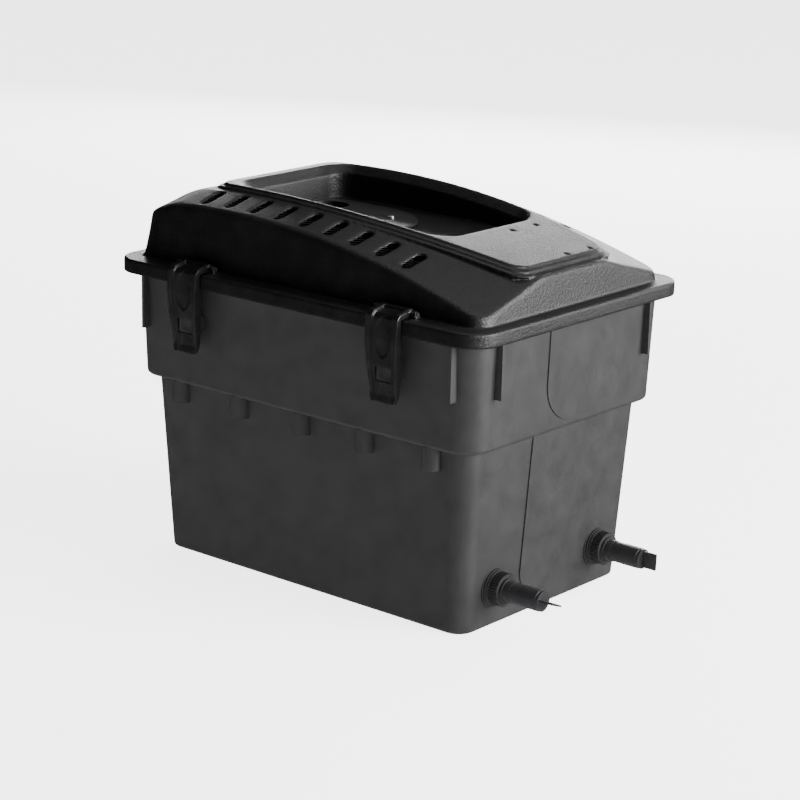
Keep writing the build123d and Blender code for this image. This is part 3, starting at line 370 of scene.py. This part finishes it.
# ---------------------------------------------------------------- floor, light and camera
floor_mesh = bpy.data.meshes.new("studio_floor")
corners = [(x * FLOOR_HALF, y * FLOOR_HALF, 0.0) for x, y in ((-1, -1), (1, -1), (1, 1), (-1, 1))]
floor_mesh.from_pydata(corners, [], [(0, 1, 2, 3)])
floor = bpy.data.objects.new("studio_floor", floor_mesh)
bpy.context.collection.objects.link(floor)
floor.location.z = -0.0004
floor.visible_glossy = False
floor_look = moulded(
    "studio_paper", (0.86, 0.86, 0.86), (0.90, 0.90, 0.90),
    (0.85, 0.95), 300.0, 0.00002, specular=0.1)
glow = floor_look.node_tree.nodes["Principled BSDF"].inputs
glow["Emission Color"].default_value = (1, 1, 1, 1)
glow["Emission Strength"].default_value = 3.6
floor_mesh.materials.append(floor_look)


def softbox(name, place, aim, size, power):
    """A rectangular studio light."""
    light = bpy.data.lights.new(name, "AREA")
    light.shape = "RECTANGLE"
    light.size, light.size_y = size
    light.energy = power
    holder = bpy.data.objects.new(name, light)
    holder.location = place
    holder.rotation_euler = (Vector(aim) - Vector(place)).to_track_quat("-Z", "Y").to_euler()
    bpy.context.collection.objects.link(holder)


softbox("key_right", (3.0, 0.9, 1.1), (0.1, 0.0, 0.25), (2.2, 1.6), 330.0)
softbox("rim_back", (-1.4, 2.9, 1.0), (0.0, 0.0, 0.35), (3.4, 0.9), 120.0)
softbox("overhead", (0.0, 0.4, 2.6), (0.0, 0.0, 0.3), (2.0, 1.4), 16.0)

world = bpy.data.worlds.new("studio")
bpy.context.scene.world = world
world.use_nodes = True
sky = world.node_tree
back = sky.nodes["Background"]
coords = node(sky, "ShaderNodeTexCoord")
facing = node(sky, "ShaderNodeVectorMath", operation="DOT_PRODUCT")
facing.inputs[1].default_value = (0.55, 0.80, 0.0)
sky.links.new(coords.outputs["Generated"], facing.inputs[0])
fade = node(sky, "ShaderNodeMapRange")
fade.inputs["From Min"].default_value = -0.75
fade.inputs["From Max"].default_value = 0.35
fade.inputs["To Min"].default_value = 0.02
fade.inputs["To Max"].default_value = 3.2
fade.interpolation_type = "SMOOTHSTEP"
sky.links.new(facing.outputs["Value"], fade.inputs["Value"])
height = node(sky, "ShaderNodeSeparateXYZ")
sky.links.new(coords.outputs["Generated"], height.inputs[0])
low = node(sky, "ShaderNodeMapRange")
low.inputs["From Min"].default_value = -0.20
low.inputs["From Max"].default_value = -0.50
low.inputs["To Min"].default_value = 0.0
low.inputs["To Max"].default_value = 1.7
sky.links.new(height.outputs["Z"], low.inputs["Value"])
total = node(sky, "ShaderNodeMath", operation="ADD")
sky.links.new(fade.outputs[0], total.inputs[0])
sky.links.new(low.outputs[0], total.inputs[1])
dim = node(sky, "ShaderNodeMapRange")
dim.inputs["From Min"].default_value = 0.40
dim.inputs["From Max"].default_value = 0.85
dim.inputs["To Min"].default_value = 1.0
dim.inputs["To Max"].default_value = 0.12
sky.links.new(height.outputs["Z"], dim.inputs["Value"])
scaled = node(sky, "ShaderNodeMath", operation="MULTIPLY")
sky.links.new(total.outputs[0], scaled.inputs[0])
sky.links.new(dim.outputs[0], scaled.inputs[1])
sky.links.new(scaled.outputs[0], back.inputs["Strength"])

camera = bpy.data.cameras.new("camera")
camera.sensor_width = 36.0
camera.lens = 110.99
camera.shift_x = 0.00865
camera.shift_y = 0.0331
holder = bpy.data.objects.new("camera", camera)
bpy.context.collection.objects.link(holder)
turn, rise, roll = (math.radians(v) for v in CAMERA_DEGREES)
backward = Vector((math.sin(turn) * math.cos(rise), -math.cos(turn) * math.cos(rise), math.sin(rise)))
right = (-backward).cross(Vector((0, 0, 1))).normalized()
up = right.cross(-backward)
right, up = math.cos(roll) * right + math.sin(roll) * up, math.cos(roll) * up - math.sin(roll) * right
place = Matrix.Translation(CAMERA_AIM + backward * CAMERA_DISTANCE)
holder.matrix_world = place @ Matrix((right, up, backward)).transposed().to_4x4()
bpy.context.scene.camera = holder
